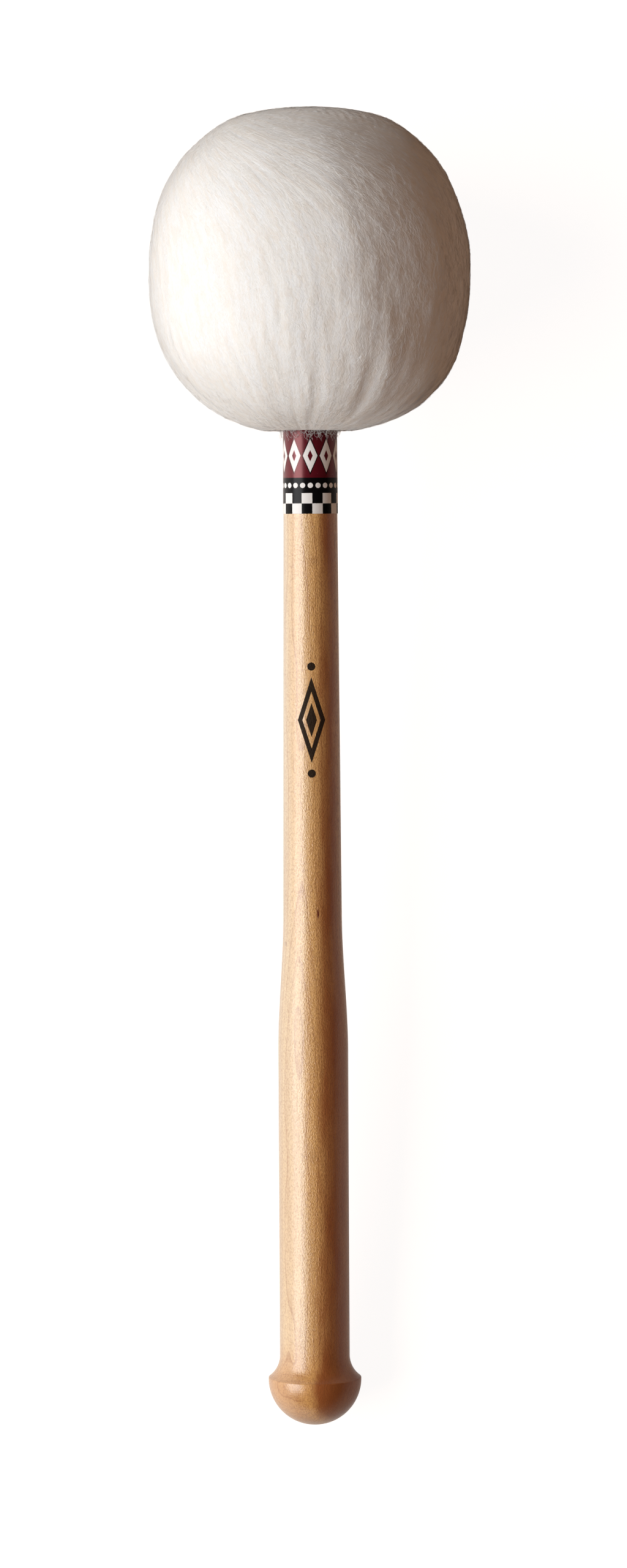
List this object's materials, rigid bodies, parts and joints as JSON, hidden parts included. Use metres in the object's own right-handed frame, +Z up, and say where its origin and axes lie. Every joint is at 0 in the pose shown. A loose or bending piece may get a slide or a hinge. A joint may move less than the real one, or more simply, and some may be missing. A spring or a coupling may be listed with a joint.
{
  "type": "bass drum mallet",
  "caption": "Bass drum mallet with a turned maple handle, a rounded pommel and a large soft head covered in gathered wool, for striking an upright concert drum.",
  "frame": {"origin": "on the table under the middle of the mallet as it lies, at the bottom centre of the bounding box", "axes": "+Y along the mallet towards the head, level with the table; +Z up; +X to the right of the handle as seen from above with the head away from the viewer. The handle's own axis rises 5.8 degrees towards the head."},
  "size_m": [0.0988, 0.4066, 0.0983],
  "materials": {
    "handle_maple": "satin",
    "core_hardwood": "matte",
    "screw_steel": "satin",
    "padding_felt": "matte",
    "cover_wool": "matte",
    "neck_thread": "matte",
    "label_film": "gloss"
  },
  "bodies": {
    "root": {"handle": "handle_maple", "core": "core_hardwood", "core_screw": "screw_steel", "screw_washer": "screw_steel", "felt_wrap": "padding_felt", "felt_crown": "padding_felt", "wool_cover": "cover_wool", "neck_thread": "neck_thread", "label_sleeve": "label_film"}
  },
  "joints": []
}
